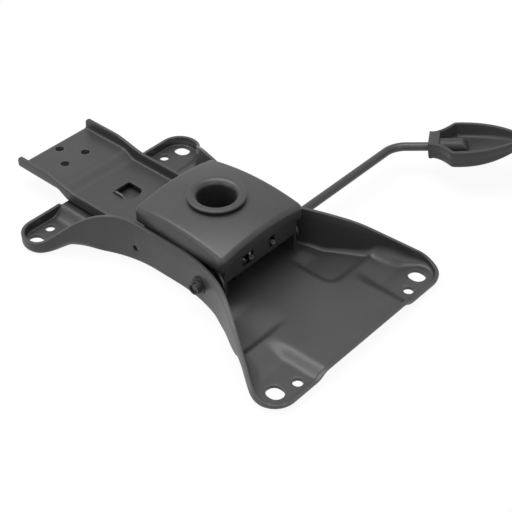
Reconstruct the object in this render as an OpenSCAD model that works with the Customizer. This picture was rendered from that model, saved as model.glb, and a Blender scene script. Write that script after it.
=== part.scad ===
// Office chair tilt mechanism, lying on its seat face with the gas-spring socket looking up.
// +X is the front of the seat, +Y the lever side, +Z out of the socket.
// Heights below are measured from the face that meets the seat.

/* [Seat plate] */
// Thickness of the pressed sheet
sheet = 2.5; // [2:0.1:3]
// Half width of the plate at its waist, over the side walls
waist_half = 45.25; // [45.1:0.05:46.5]
// Height of the underside of the floor over the seat face
floor_lift = 5; // [4:0.5:6]
// Height of the side walls beside the housing
wall_h = 38; // [37:0.1:38.5]
// Height of the walls' crest behind the housing
crest_h = 40.2; // [39:0.1:41]
// Distance between front and rear seat slots
slot_span = 237.5; // [230:0.5:242]
// Distance between left and right seat slots
slot_gauge = 157; // [152:0.5:160]
// Width of a seat slot
slot_w = 12; // [10:0.2:13]
// End-to-end length of a seat slot
slot_len = 13.6; // [13.2:0.2:15]
// Diameter of a small seat hole
seat_hole_d = 7.8; // [6:0.2:9]

/* [Back bracket] */
// Outside width of the channel
channel_w = 74; // [70:0.5:76]
// Height of the channel's sides over its floor
channel_side = 9; // [7:0.5:10]
// Rear end of the channel
channel_end = -180; // [-190:1:-176]
// Pitch circle of the three fixing holes
back_pcd = 24.8; // [22:0.2:28]
// Diameter of a fixing hole
back_hole_d = 6.6; // [5.5:0.1:7.5]

/* [Housing] */
// Height of the cap's top
cap_top = 56.5; // [56:0.1:57]
// Length of the cap from rear to front
cap_len = 89.5; // [88:0.5:90]
// Half width of the cap at its rear
cap_half = 41; // [40.5:0.1:41.1]
// Half width of the cap at its front
cap_front_half = 43.4; // [42.5:0.1:43.6]
// Rounding of the cap's corners
cap_round = 4.5; // [4:0.5:6]
// Radius of the cap's crowned top
crown_r = 220; // [200:5:300]
// Radius of the socket's straight land
socket_r = 14.1; // [13.5:0.05:14.5]
// Outer diameter of the collar
collar_d = 44; // [42:0.5:46]

/* [Tilt] */
// Tilt axis, forward of the socket axis
pivot_x = 27.5; // [27:0.1:28]
// Tilt axis, over the seat face
pivot_h = 20.1; // [20:0.1:20.5]
// Mean radius of a spring's coil
coil_r = 9.75; // [9.5:0.05:9.8]
// Diameter of the spring wire
wire_d = 4.5; // [4:0.1:4.6]
// Turns in each spring
coil_turns = 2.25; // [1.25:1:2.25]

/* [Lever] */
// Diameter of the lever rod
rod_d = 7; // [6.6:0.1:7.1]
// Straight length of the rod outside, up to its bend
rod_reach = 167; // [140:1:190]
// Angle of the bend towards the front
rod_bend = 58.5; // [45:0.5:70]
// Rise of the lever's bent end over the level
lever_rise = 8.5; // [6:0.5:12]
// Length of the paddle
paddle_len = 78; // [70:1:84]
// Width of the paddle at its shoulders
paddle_w = 50; // [46:0.5:52]
// Thickness of the paddle
paddle_t = 13.8; // [12.8:0.2:15]
// Travel of the lever when it is pulled out
lock_travel = 5; // [3:0.5:5]

/* [Hidden] */
$fn = 64;
// Running clearance on a radius, and the gap left between pieces that must not rub
run_gap = 0.08;
gap = 0.35;
big = 400;
near = -1;
far = 1;

// The mouth of the socket's straight land is the origin
mouth_h = 55;
collar_top = 59.8;
socket_foot = 24;
tube_r = 16.5;
land = 16;

// Seat slots and holes, and the ears that keep their places to them
slot_x = [-113.2, -113.2 + slot_span];
slot_y = slot_gauge / 2;
small_hole_x = [slot_x[0] - 3.8, slot_x[1] + 5];
small_hole_y = slot_y - 17;
rear_ear = [slot_x[0] + 2.7, slot_y - 6.1];
rear_ear_r = 17;
front_ear = [slot_x[1] - 1.8, slot_y - 1.5];
front_ear_r = 18;

// Seat plate outline: arcs between the ears, and the ends
rear_arc_x = -20;
front_arc_x = 3;
front_arc_r = 120;
front_edge = front_ear[0] + front_ear_r;
lip_half = 46;
rear_drop = waist_half - rear_ear[1];
rear_run = rear_arc_x - rear_ear[0];
rear_arc_r = (rear_run * rear_run + rear_drop * rear_drop - rear_ear_r * rear_ear_r)
    / (2 * (rear_ear_r - rear_drop));
rear_arc = [rear_arc_x, waist_half + rear_arc_r];
front_arc = [front_arc_x, waist_half + front_arc_r];
front_line = front_ear - front_arc;
front_turn = atan2(front_line[1], front_line[0]) - acos((front_arc_r + front_ear_r) / norm(front_line));
front_normal = [cos(front_turn), sin(front_turn)];

// Seat plate levels and the places of its dips and holes
floor_top = floor_lift + sheet;
deck_lift = 2;
deck_top = floor_top + deck_lift;
deck_half = 42;
deck_front = -46;
dip_run = 9;
front_dip = [front_ear[0] - 28.5, 41];
rear_dip = [rear_ear[0] + 22.5, 44];
rear_rim_h = 9.8;
ear_rim_h = 6;
front_lip_h = 9;
crest_x = -47;
crest_r = 68;
crown_x = -24;
brow_x = 45;
brow_r = 88;
brow_turn = 28;
hang_hole = [-37.3, 17];
hang_hole_d = 5.6;

// Back bracket levels
channel_front = -52;
joggle_rear = -134;
joggle_front = -124;
joggle_rise = 5.5;
channel_floor = deck_top;
back_centre = -160.8;
window_centre = [-97.5, 3];
window_half = 8.5;
weld_bead = 3;
weld_len = 22;
weld_setback = 4;
nut_flats = 10;
nut_h = 5;

// Housing
cap_rear = -44;
cap_front = cap_rear + cap_len;
cap_foot = 39.5;
cheek_out = cap_half - sheet;
cheek_in = cheek_out - sheet;
bracket_rear = -36;
front_wall_x = 40.3;
front_wall_foot = 23.5;
front_wall_top = cap_foot - gap;
web_h = 30;
cheek_top = 45.4;
toe_h = floor_top + 2;
stop_pad_at = [-31, 34.5];
stop_pad_d = 10;
stop_pad_h = 5.2;
stop_pad_edge = 1.6;
bush_r = 6.4;
bush_end = 49.7;
journal_r = 4.6;
stub_end = 54.4;
washer_r = 16;
washer_low_r = 12;
washer_t = 2;
lock_at = [35, 30];
lock_pin_r = 2.2;
lock_pin_end = 45.8 - lock_travel;

// Springs: the inner end of the coil, its pitch, and its two legs
coil_inner = 11.5;
coil_pitch = wire_d + 0.65;
front_leg_x = 40.4;
hook_r = 3.5;
rear_leg_x = 2;
leg_bend_r = 6;
rings_per_turn = 12;
wire_sides = 8;

// Lever
rod_r = rod_d / 2;
rod_near = -53;
rod_bend_r = 18;
neck_gap = 18.3;
paddle_low = -5.5;
tongue_y = [-8.5, 2.5];
tongue_tip = -7;
tongue_h = 16;
plate_y = 25.8;
clip_t = 0.8;

// Turns the seat face's heights into the frame with the origin in the socket's mouth
module from_seat() {
    translate([0, 0, -mouth_h]) children();
}

// A straight bar of circular section along Y
module bar_y(at, r, y0, y1) {
    translate([at[0], y0, at[1]]) rotate([-90, 0, 0]) cylinder(r = r, h = y1 - y0);
}

// A flat outline in X and height, given thickness along Y
module side_plate(y0, y1) {
    translate([0, y1, 0]) rotate([90, 0, 0]) linear_extrude(y1 - y0) children();
}

pivot = [pivot_x, pivot_h];

function reversed(list) = [for (i = [len(list) - 1 : -1 : 0]) list[i]];
function mirrored(list) = [for (p = list) [p[0], -p[1]]];

// The plate's outline as an upright block, drawn in by a wall's thickness or more
module outline_block(inset, foot) {
    rear_r = rear_ear_r - inset;
    front_r = front_ear_r - inset;
    rear_tangent = rear_ear + rear_r * (rear_arc - rear_ear) / norm(rear_arc - rear_ear);
    arc_end = front_arc + (front_arc_r + inset) * front_normal;
    line_end = front_ear - front_r * front_normal;
    side = [
        [rear_ear[0] - rear_r, rear_ear[1]], rear_ear, rear_tangent, [rear_arc_x, rear_tangent[1]],
        [rear_arc_x, waist_half - inset], [front_arc_x, waist_half - inset], [front_arc_x, arc_end[1]],
        arc_end, line_end, front_ear, [front_edge - inset, front_ear[1]]
    ];
    translate([0, 0, foot]) union() {
        difference() {
            linear_extrude(big) polygon(concat(side, reversed(mirrored(side))));
            for (s = [near, far]) {
                translate([rear_arc[0], s * rear_arc[1], -1])
                    cylinder(r = rear_arc_r + inset, h = 2 * big, $fn = 160);
                translate([front_arc[0], s * front_arc[1], -1])
                    cylinder(r = front_arc_r + inset, h = 2 * big, $fn = 160);
            }
        }
        for (s = [near, far]) {
            translate([rear_ear[0], s * rear_ear[1], 0]) cylinder(r = rear_r, h = big);
            translate([front_ear[0], s * front_ear[1], 0]) cylinder(r = front_r, h = big);
        }
    }
}

// Top line of the side walls: rear rim, crest, level waist, brow and front ear
function crest_at(x) = crest_h - crest_r + sqrt(crest_r * crest_r - (x - crest_x) * (x - crest_x));
function ease(u) = (1 - cos(180 * u)) / 2;
brow_end = [brow_x + brow_r * sin(brow_turn), wall_h - brow_r * (1 - cos(brow_turn))];
rear_rim_drop = crest_r - crest_h + rear_rim_h;
rear_rim_x = crest_x - sqrt(crest_r * crest_r - rear_rim_drop * rear_rim_drop);
ear_rim_x = brow_end[0] + (brow_end[1] - ear_rim_h) / tan(brow_turn);
wall_line = [
    for (i = [0 : 8]) let (x = rear_rim_x + (crest_x - rear_rim_x) * i / 8) [x, crest_at(x)],
    for (i = [1 : 6]) [crest_x + (crown_x - crest_x) * i / 6, crest_h - (crest_h - wall_h) * ease(i / 6)],
    for (i = [0 : 6]) let (a = brow_turn * i / 6) [brow_x + brow_r * sin(a), wall_h - brow_r * (1 - cos(a))]
];

module wall_profile() {
    side_plate(-big, big) polygon(concat(
        [[-big, 0], [-big, rear_rim_h]], wall_line, [[ear_rim_x, ear_rim_h], [big, ear_rim_h], [big, 0]]
    ));
    // The low lip along the front edge stands over the floor between the ears
    translate([front_edge - 2 * dip_run, -lip_half, 0])
        cube([4 * dip_run, 2 * lip_half, front_lip_h]);
}

// A dip towards an ear: everything beyond two slopes that go down to a level over the seat face
module ear_dip(corner, level, side) {
    dir = sign(corner[0]);
    x_slope = [
        [corner[0], big], [corner[0], floor_lift + level], [corner[0] + dir * dip_run, level],
        [dir * big, level], [dir * big, big]
    ];
    y_slope = [
        [corner[1], big], [corner[1], floor_lift + level], [corner[1] + dip_run, level],
        [big, level], [big, big]
    ];
    intersection() {
        side_plate(-big, big) polygon(x_slope);
        scale([1, side, 1]) rotate([90, 0, 90]) translate([0, 0, -big])
            linear_extrude(2 * big) polygon(y_slope);
    }
}

module ear_dips(level) {
    for (s = [near, far]) {
        ear_dip(front_dip, level, s);
        ear_dip(rear_dip, level, s);
    }
}

module seat_slot(at) {
    straight = slot_len - slot_w;
    for (e = [-1, 1]) translate([at[0] + e * straight / 2, at[1], -1]) cylinder(d = slot_w, h = big);
    translate([at[0] - straight / 2, at[1] - slot_w / 2, -1]) cube([straight, slot_w, big]);
}

module seat_plate() {
    color("#3c3d3f") from_seat() difference() {
        intersection() {
            outline_block(0, 0);
            wall_profile();
        }
        // Hollow over the floor, with the dips and without the deck
        difference() {
            outline_block(sheet, floor_top);
            translate([-big, -deck_half, 0]) cube([big + deck_front, 2 * deck_half, deck_top]);
        }
        intersection() {
            outline_block(sheet, 0);
            ear_dips(sheet);
        }
        // Hollow under the floor, without the ears' pads
        difference() {
            translate([-big, -big, -1]) cube([2 * big, 2 * big, 1 + floor_lift]);
            ear_dips(0);
        }
        translate([-big, -deck_half + sheet, -1])
            cube([big + deck_front - sheet, 2 * (deck_half - sheet), 1 + deck_top - sheet]);
        // Rear rim is cut away where the back bracket passes over it
        translate([-big, -deck_half + 2, deck_top]) cube([big - 100, 2 * (deck_half - 2), big]);
        for (x = slot_x, s = [near, far]) seat_slot([x, s * slot_y]);
        for (x = small_hole_x, s = [near, far])
            translate([x, s * small_hole_y, -1]) cylinder(d = seat_hole_d, h = big);
        bar_y(pivot, bush_r, -big, big);
        bar_y(hang_hole, hang_hole_d / 2, -big, 0);
        bar_y(lock_at, lock_pin_r + gap, 0, big);
    }
}

// Channel section along X: a line of the floor at a given height over its underside
function channel_line(rise) = [
    [channel_end, channel_floor + joggle_rise + rise], [joggle_rear, channel_floor + joggle_rise + rise],
    [joggle_front, channel_floor + rise], [channel_front, channel_floor + rise]
];

module channel_band(low, high, y0, y1) {
    side_plate(y0, y1) polygon(concat(channel_line(low), reversed(channel_line(high))));
}

module back_bracket() {
    side_top = sheet + channel_side;
    color("#3e3f41") from_seat() {
        difference() {
            union() {
                channel_band(0, sheet, -channel_w / 2, channel_w / 2);
                channel_band(0, side_top, -channel_w / 2, -channel_w / 2 + sheet);
                channel_band(0, side_top, channel_w / 2 - sheet, channel_w / 2);
            }
            for (a = [60, 180, 300])
                translate([back_centre + back_pcd / 2 * cos(a), back_pcd / 2 * sin(a), 0])
                    cylinder(d = back_hole_d, h = big);
            // Window with two square and two round corners
            translate([window_centre[0], window_centre[1], 0]) linear_extrude(big) intersection() {
                square(2 * window_half, center = true);
                translate([-window_half, window_half]) circle(1.9 * window_half);
            }
        }
        // Lanced tab at the window's near edge
        translate([window_centre[0] - window_half, window_centre[1] - window_half - sheet, 0])
            translate([0, 0, channel_floor + 1]) cube([1.3 * window_half, sheet, sheet + 1]);
    }
}

// Weld nuts under the fixing holes, for the bolts of the back upright
module back_nuts() {
    corner_r = nut_flats / 2 / cos(30);
    nut_foot = channel_floor + joggle_rise - nut_h;
    color("#55565a") from_seat() for (a = [60, 180, 300])
        translate([back_centre + back_pcd / 2 * cos(a), back_pcd / 2 * sin(a), nut_foot])
            difference() {
                linear_extrude(nut_h) polygon([for (i = [0 : 5]) corner_r * [cos(60 * i), sin(60 * i)]]);
                translate([0, 0, -1]) cylinder(d = back_hole_d, h = nut_h + 2);
            }
}

module bracket_welds() {
    color("#47474a") from_seat() for (s = [near, far]) {
        translate([channel_front - weld_setback - weld_len, s * channel_w / 2, deck_top]) rotate([90, 0, 90])
            linear_extrude(weld_len) polygon([[0, 0], [s * weld_bead, 0], [0, weld_bead]]);
    }
}

module pivot_bush(s) {
    color("#d8d6cc") from_seat() scale([1, s, 1]) difference() {
        bar_y(pivot, bush_r, cheek_out + washer_t + 1, bush_end);
        bar_y(pivot, journal_r + run_gap, 0, big);
    }
}

module pivot_bush_near() { pivot_bush(near); }
module pivot_bush_far() { pivot_bush(far); }

module tilt_stop_pads() {
    color("#1d1d1e") from_seat() for (s = [near, far]) {
        at = [stop_pad_at[0], s * stop_pad_at[1], floor_top];
        translate(at) cylinder(d = stop_pad_d, h = stop_pad_h - stop_pad_edge);
        translate(at + [0, 0, stop_pad_h - stop_pad_edge])
            cylinder(d1 = stop_pad_d, d2 = stop_pad_d - 2, h = stop_pad_edge);
    }
}

// The cap in plan as an upright block: four round corners, wider at the front, drawn in by an inset
module cap_block(inset, foot) {
    r = cap_round - inset;
    rear = [cap_rear + cap_round, cap_half - cap_round];
    front = [cap_front - cap_round, cap_front_half - cap_round];
    run = front - rear;
    out = r * [-run[1], run[0]] / norm(run);
    side = [rear - [r, 0], rear + out, front + out, front + [r, 0]];
    tall = cap_top - foot + 1;
    translate([0, 0, foot]) {
        linear_extrude(tall) polygon(concat(side, reversed(mirrored(side))));
        for (c = [rear, front], s = [near, far]) translate([c[0], s * c[1], 0]) cylinder(r = r, h = tall);
    }
}

// The crown of the cap's top is part of a large ball
module cap_crown(inset) {
    translate([(cap_rear + cap_front) / 2, 0, cap_top - crown_r]) sphere(crown_r - inset, $fn = 240);
}

module housing_cap() {
    color("#434446") from_seat() difference() {
        intersection() {
            cap_block(0, cap_foot);
            cap_crown(0);
        }
        intersection() {
            cap_block(sheet, cap_foot - 1);
            cap_crown(sheet);
        }
        cylinder(r = tube_r, h = big);
    }
}

// Side cheek of the pivot bracket, in X and height; it stands in the cap between the round corners
module cheek() {
    polygon([
        [bracket_rear, front_wall_top], [cap_rear + 2 * cap_round, front_wall_top],
        [cap_rear + 2 * cap_round, cheek_top], [cap_front - 2 * cap_round, cheek_top],
        [cap_front - 2 * cap_round, front_wall_top], [front_wall_x + sheet, front_wall_top],
        [front_wall_x + sheet, toe_h], [pivot_x + 5, toe_h],
        [pivot_x - 9, pivot_h - 8.5], [bracket_rear + 10, web_h - 4], [bracket_rear, web_h - 4]
    ]);
}

module pivot_bracket() {
    color("#39393b") from_seat() difference() {
        union() {
            side_plate(-cheek_out, -cheek_in) cheek();
            side_plate(cheek_in, cheek_out) cheek();
            // Front wall and the web that holds the socket's foot
            translate([front_wall_x, -cheek_in, front_wall_foot])
                cube([sheet, 2 * cheek_in, front_wall_top - front_wall_foot]);
            translate([bracket_rear, -cheek_in, web_h]) cube([14 - bracket_rear, 2 * cheek_in, sheet]);
            translate([0, 0, web_h]) cylinder(r = tube_r + 4, h = sheet);
        }
        cylinder(r = tube_r, h = big);
        bar_y(pivot, journal_r, -big, big);
        bar_y(lock_at, lock_pin_r + run_gap, 0, big);
        // Slots in the front wall for the springs' legs: a wide one near, a notch far
        translate([front_wall_x - 1, -20, 27]) cube([sheet + 2, 11.5, big]);
        translate([front_wall_x - 1, coil_inner - wire_d / 2 - 0.6, 27.2])
            cube([sheet + 2, wire_d + 1.2, big]);
    }
}

module ring(mean_r, r, height) {
    translate([0, 0, height]) rotate_extrude($fn = 96) translate([mean_r, 0]) circle(r, $fn = 48);
}

module gas_spring_socket() {
    collar_r = collar_d / 2;
    collar_foot = cap_top + 0.6;
    edge = (collar_top - collar_foot) / 2;
    lip = collar_top - mouth_h;
    color("#454648") from_seat() difference() {
        union() {
            translate([0, 0, socket_foot]) cylinder(r = tube_r, h = collar_top - socket_foot);
            translate([0, 0, collar_foot]) cylinder(r = collar_r - edge, h = 2 * edge);
            ring(collar_r - edge, edge, collar_foot + edge);
        }
        // Straight land, and below it the gas spring's taper
        translate([0, 0, mouth_h - land]) cylinder(r = socket_r, h = big);
        translate([0, 0, socket_foot - 1])
            cylinder(r1 = socket_r - 0.7, r2 = socket_r, h = mouth_h - land - socket_foot + 1);
        // Funnel: the lip rolls outward above the land
        difference() {
            translate([0, 0, mouth_h]) cylinder(r = socket_r + lip, h = big);
            ring(socket_r + lip, lip, mouth_h);
        }
    }
}

module pivot_stub(s) {
    color("#2b2b2d") from_seat() scale([1, s, 1]) difference() {
        bar_y(pivot, journal_r, cheek_in, stub_end);
        bar_y(pivot, rod_r + run_gap, 0, big);
        // Slit across the open end
        translate([pivot_x - 0.6, stub_end - 3, pivot_h]) cube([1.2, big, big]);
    }
}

module pivot_stub_near() { pivot_stub(near); }
module pivot_stub_far() { pivot_stub(far); }

module thrust_washer(s) {
    color("#a5a6a8") from_seat() scale([1, s, 1]) difference() {
        union() {
            bar_y(pivot, washer_low_r, cheek_out, cheek_out + washer_t);
            intersection() {
                bar_y(pivot, washer_r, cheek_out, cheek_out + washer_t);
                translate([-big, 0, pivot_h]) cube(2 * big);
            }
        }
        bar_y(pivot, journal_r, 0, big);
        bar_y(lock_at, lock_pin_r + gap, 0, big);
    }
}

module thrust_washer_near() { thrust_washer(near); }
module thrust_washer_far() { thrust_washer(far); }

// Centre line of a spring on the far side: hooked front leg, coil, and rear leg down to the floor
rear_leg_h = floor_top + gap + wire_d / 2;
coil_out = coil_inner + coil_pitch * coil_turns;
coil_steps = round(rings_per_turn * coil_turns);
leg_corner = [pivot_x - coil_r - leg_bend_r, rear_leg_h + leg_bend_r];
spring_line = [
    for (i = [3 : -1 : 0]) let (a = 22 * i)
        [front_leg_x + hook_r * sin(a), coil_inner, pivot_h + coil_r + hook_r * (1 - cos(a))],
    [(front_leg_x + pivot_x) / 2, coil_inner, pivot_h + coil_r],
    for (i = [0 : coil_steps]) let (a = 90 + 360 * i / rings_per_turn)
        let (y = coil_inner + coil_pitch * i / rings_per_turn)
        [pivot_x + coil_r * cos(a), y, pivot_h + coil_r * sin(a)],
    for (i = [0 : 3]) let (a = 30 * i)
        [leg_corner[0] + leg_bend_r * cos(a), coil_out, leg_corner[1] - leg_bend_r * sin(a)],
    [rear_leg_x, coil_out, rear_leg_h]
];

// Rings of the wire: square to the run, turned by a frame that leans on the axis direction
function unit(v) = v / norm(v);
function run_at(line, i) = unit(line[min(i + 1, len(line) - 1)] - line[max(i - 1, 0)]);
function ring_at(line, i) =
    let (t = run_at(line, i), u = unit([0, 1, 0] - t * t[1]), v = cross(t, u))
    [for (k = [0 : wire_sides - 1]) let (a = 360 * k / wire_sides)
        line[i] + wire_d / 2 * (cos(a) * u + sin(a) * v)];

module wire(line) {
    n = len(line);
    m = wire_sides;
    points = [for (i = [0 : n - 1]) each ring_at(line, i)];
    skin = [for (i = [0 : n - 2], k = [0 : m - 1]) let (a = i * m + k, b = i * m + (k + 1) % m)
        each [[a, b + m, b], [a, a + m, b + m]]];
    start = [for (k = [1 : m - 2]) [0, k, k + 1]];
    end = [for (k = [1 : m - 2]) [(n - 1) * m, (n - 1) * m + k + 1, (n - 1) * m + k]];
    polyhedron(points, concat(skin, start, end));
}

// Least gap of a spring to itself, between points half a turn or more apart along the wire
line_end = len(spring_line) - 1;
spring_gap = min([for (i = [0 : line_end], j = [i + rings_per_turn / 2 : 1 : line_end])
    norm(spring_line[i] - spring_line[j])]) - wire_d;
echo(spring_gap = spring_gap);

module tilt_spring(s) {
    color("#6b6c6e") from_seat() scale([1, s, 1]) wire(spring_line);
}

module tilt_spring_near() { tilt_spring(near); }
module tilt_spring_far() { tilt_spring(far); }

module rest_stop_feet() {
    color("#1d1d1e") from_seat() for (s = [near, far])
        translate([pivot_x + 8, s * (cheek_in + sheet / 2) - sheet / 2, floor_top + gap])
            cube([front_wall_x + sheet - pivot_x - 9, sheet, toe_h - floor_top - gap]);
}

module lock_plate() {
    color("#77787a") from_seat() difference() {
        union() {
            bar_y(pivot, rod_r + 3.5, plate_y, plate_y + sheet);
            bar_y(lock_at, 4.5, plate_y, plate_y + sheet);
            side_plate(plate_y, plate_y + sheet) polygon([
                pivot + [-3.5, 1], pivot + [3.5, -2], lock_at + [3.5, -1], lock_at + [-3.5, 1]
            ]);
        }
        bar_y(pivot, rod_r + run_gap, 0, big);
        bar_y(lock_at, lock_pin_r, 0, big);
    }
}

module lock_pin() {
    color("#8d8e90") from_seat() bar_y(lock_at, lock_pin_r, plate_y, lock_pin_end);
}

// Bend of the rod and the paddle's own directions, from a point on the rod's axis
bend_centre = [rod_bend_r, rod_reach];
bend_end = bend_centre + rod_bend_r * [-cos(rod_bend), sin(rod_bend)];
neck = bend_end + neck_gap * [sin(rod_bend), cos(rod_bend)];
socket_depth = 26;

// The lever's bent end lies in a plane that rises towards the front
module lever_plane() {
    translate([pivot_x, 0, pivot_h]) rotate([0, -lever_rise, 0]) children();
}

// Lays out the paddle: X along it from its neck, Y across it, Z up from the rod's axis
module at_paddle() {
    lever_plane() translate([neck[0], neck[1], 0]) rotate([0, 0, 90 - rod_bend]) children();
}

// The bend is a hair thicker than the straight lengths that run into it
module lever_rod() {
    swell = 0.06;
    bite = 0.8;
    color("#333436") from_seat() {
        bar_y(pivot, rod_r, rod_near, rod_reach + bite);
        at_paddle() translate([-neck_gap - bite, 0, 0]) rotate([0, 90, 0])
            cylinder(r = rod_r, h = neck_gap + bite + socket_depth);
        lever_plane() translate([bend_centre[0], bend_centre[1], 0]) rotate([0, 0, 180 - rod_bend])
            rotate_extrude(angle = rod_bend) translate([rod_bend_r, 0]) circle(rod_r + swell);
    }
}

// Half outline of the paddle: neck, flare, shoulder and a curve to the tip
neck_half = 10.5;
flare_x = 3;
shoulder_x = 19;
recess_x = 5.5;
boss_r = 6.6;
boss_end = 31;
paddle_wall = 2.6;
function paddle_side(inset) = [
    for (i = [0 : 5]) let (u = i / 5)
        let (half = neck_half + (paddle_w / 2 - neck_half) * pow(u, 1.6))
        [flare_x + (shoulder_x - flare_x) * u, half - inset],
    for (i = [1 : 14]) let (u = i / 14, full = paddle_len - inset - shoulder_x)
        [shoulder_x + full * u, (paddle_w / 2 - inset) * (1 - pow(u, 2.5))]
];

module paddle_outline(start, inset) {
    side = [for (p = paddle_side(inset)) if (p[0] > start) p];
    polygon(concat([[start, side[0][1]]], side, reversed(mirrored(side)), [[start, -side[0][1]]]));
}

// The paddle's underside is level and then sweeps up to the tip like a hull
module paddle_depth(level) {
    keel_x = 28;
    keel = [for (i = [0 : 8]) let (u = i / 8) [keel_x + (paddle_len - keel_x) * u, level + 8 * pow(u, 2)]];
    side_plate(-big, big) polygon(concat([[-1, big], [-1, level]], keel, [[paddle_len, big]]));
}

module lever_paddle() {
    color("#2d2d2e") from_seat() at_paddle() difference() {
        union() {
            difference() {
                intersection() {
                    translate([0, 0, paddle_low]) linear_extrude(paddle_t) paddle_outline(0, 0);
                    paddle_depth(paddle_low);
                }
                intersection() {
                    translate([0, 0, paddle_low]) linear_extrude(big) paddle_outline(recess_x, paddle_wall);
                    paddle_depth(paddle_low + paddle_wall);
                }
            }
            // Boss round the rod's end, cut off at a slant
            intersection() {
                translate([recess_x - 2, 0, 0]) rotate([0, 90, 0]) cylinder(r = boss_r, h = boss_end);
                side_plate(-big, big) polygon([
                    [0, paddle_low + 0.5], [boss_end, paddle_low + 0.5], [boss_end, 0.5],
                    [boss_end - 5, boss_r + 1], [0, boss_r + 1]
                ]);
            }
        }
        translate([-1, 0, 0]) rotate([0, 90, 0]) cylinder(r = rod_r, h = socket_depth + 1);
    }
}

module release_tongue() {
    color("#77787a") from_seat() difference() {
        union() {
            bar_y(pivot, rod_r + 2.5, tongue_y[0], tongue_y[1]);
            translate([tongue_tip, tongue_y[0], tongue_h])
                cube([pivot_x - tongue_tip, tongue_y[1] - tongue_y[0], sheet]);
        }
        bar_y(pivot, rod_r, -big, big);
    }
}

module spring_sleeve(s) {
    color("#d8d6cc") from_seat() scale([1, s, 1]) difference() {
        bar_y(pivot, coil_r - wire_d / 2 - gap, coil_inner - 2, plate_y - 1.4);
        bar_y(pivot, rod_r, 0, big);
    }
}

module spring_sleeve_near() { spring_sleeve(near); }
module spring_sleeve_far() { spring_sleeve(far); }

module rod_clips() {
    color("#8d8e90") from_seat() for (y = [plate_y - 0.1 - clip_t, plate_y + sheet + 0.1]) difference() {
        bar_y(pivot, rod_r + 2.3, y, y + clip_t);
        bar_y(pivot, rod_r, 0, big);
        translate([pivot_x - 1.6, y - 1, pivot_h - big]) cube([3.2, clip_t + 2, big]);
    }
}

seat_plate();
back_bracket();
bracket_welds();
back_nuts();
pivot_bush_near();
pivot_bush_far();
tilt_stop_pads();
housing_cap();
pivot_bracket();
gas_spring_socket();
pivot_stub_near();
pivot_stub_far();
thrust_washer_near();
thrust_washer_far();
tilt_spring_near();
tilt_spring_far();
rest_stop_feet();
lock_plate();
lock_pin();
lever_rod();
lever_paddle();
release_tongue();
spring_sleeve_near();
spring_sleeve_far();
rod_clips();
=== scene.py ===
import functools
import math

import bmesh
import bpy
from mathutils import Matrix, Vector
from mathutils.geometry import delaunay_2d_cdt


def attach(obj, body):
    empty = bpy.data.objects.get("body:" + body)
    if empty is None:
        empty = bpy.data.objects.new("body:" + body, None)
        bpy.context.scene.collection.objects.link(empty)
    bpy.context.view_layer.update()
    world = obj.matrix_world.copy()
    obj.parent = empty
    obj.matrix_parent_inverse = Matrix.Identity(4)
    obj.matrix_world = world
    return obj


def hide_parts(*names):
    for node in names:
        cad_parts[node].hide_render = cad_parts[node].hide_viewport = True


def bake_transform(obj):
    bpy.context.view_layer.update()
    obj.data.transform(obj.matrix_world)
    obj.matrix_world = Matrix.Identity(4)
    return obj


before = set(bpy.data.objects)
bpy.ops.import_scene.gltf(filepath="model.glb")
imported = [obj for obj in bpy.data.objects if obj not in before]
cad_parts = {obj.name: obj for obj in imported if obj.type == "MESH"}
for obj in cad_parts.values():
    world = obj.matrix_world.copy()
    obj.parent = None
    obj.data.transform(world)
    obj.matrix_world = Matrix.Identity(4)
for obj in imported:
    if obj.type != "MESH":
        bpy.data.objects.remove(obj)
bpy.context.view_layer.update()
scene = bpy.context.scene

MM = 0.001
QUARTER = 0.5 * math.pi
TURN = 2.0 * math.pi

# Shared sizes: the sheet, the origin's height over the seat face, and the pivot as x and height
SHEET = 2.5
MOUTH_H = 55.0
PIVOT = (27.5, 20.1)


# Small functions

def place(x, y, h):
    return Vector((x, y, h - MOUTH_H)) * MM


def mix(a, b, u):
    return a + (b - a) * u


def clamp(u):
    return min(max(u, 0.0), 1.0)


def smooth(u):
    u = clamp(u)
    return u * u * (3.0 - 2.0 * u)


def ramp(u):
    """A straight rise from 0 to 1 with eased ends."""
    u = clamp(u)
    return 0.6 * u + 0.4 * smooth(u)


def rising(value, start, run):
    """0 up to the start, 1 from the end of the run on."""
    return smooth((value - start) / run)


def falling(value, end, run):
    """1 up to one run before the end, 0 from the end on."""
    return smooth((end - value) / run)


def soft_floor(value, least, softness):
    """The value, kept over the least with a soft turn between the two."""
    return least + softness * math.log1p(math.exp((value - least) / softness))


def soft_ceiling(value, most, softness):
    """The value, kept under the most with a soft turn between the two."""
    return most - softness * math.log1p(math.exp((most - value) / softness))


def polar(centre, r, a):
    return Vector((centre[0] + r * math.cos(a), centre[1] + r * math.sin(a)))


# Materials

TONE_BAND = (0.30, 0.72)
TONE_DETAIL = 3.0
GRAIN_DETAIL = 2.0
WEAR_BAND = (0.53, 0.62)
WEAR_GAIN = 2.4
WEAR_LIFT = 0.03
ROUGH_SWING = 0.06
GRAIN_DEPTH = 0.0004


def noise(tree, coords, scale, detail):
    node = tree.nodes.new("ShaderNodeTexNoise")
    node.inputs["Scale"].default_value = scale
    node.inputs["Detail"].default_value = detail
    tree.links.new(coords.outputs["Object"], node.inputs["Vector"])
    return node.outputs["Fac"]


def tone_drift(tree, drift, base, tone):
    """The base colour, a little darker and paler in broad patches."""
    tones = tree.nodes.new("ShaderNodeValToRGB")
    for stop, position, gain in zip(tones.color_ramp.elements, TONE_BAND, (1.0 - tone, 1.0 + tone)):
        stop.position = position
        stop.color = [c * gain for c in base] + [1.0]
    tree.links.new(drift, tones.inputs["Fac"])
    return tones.outputs["Color"]


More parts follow.
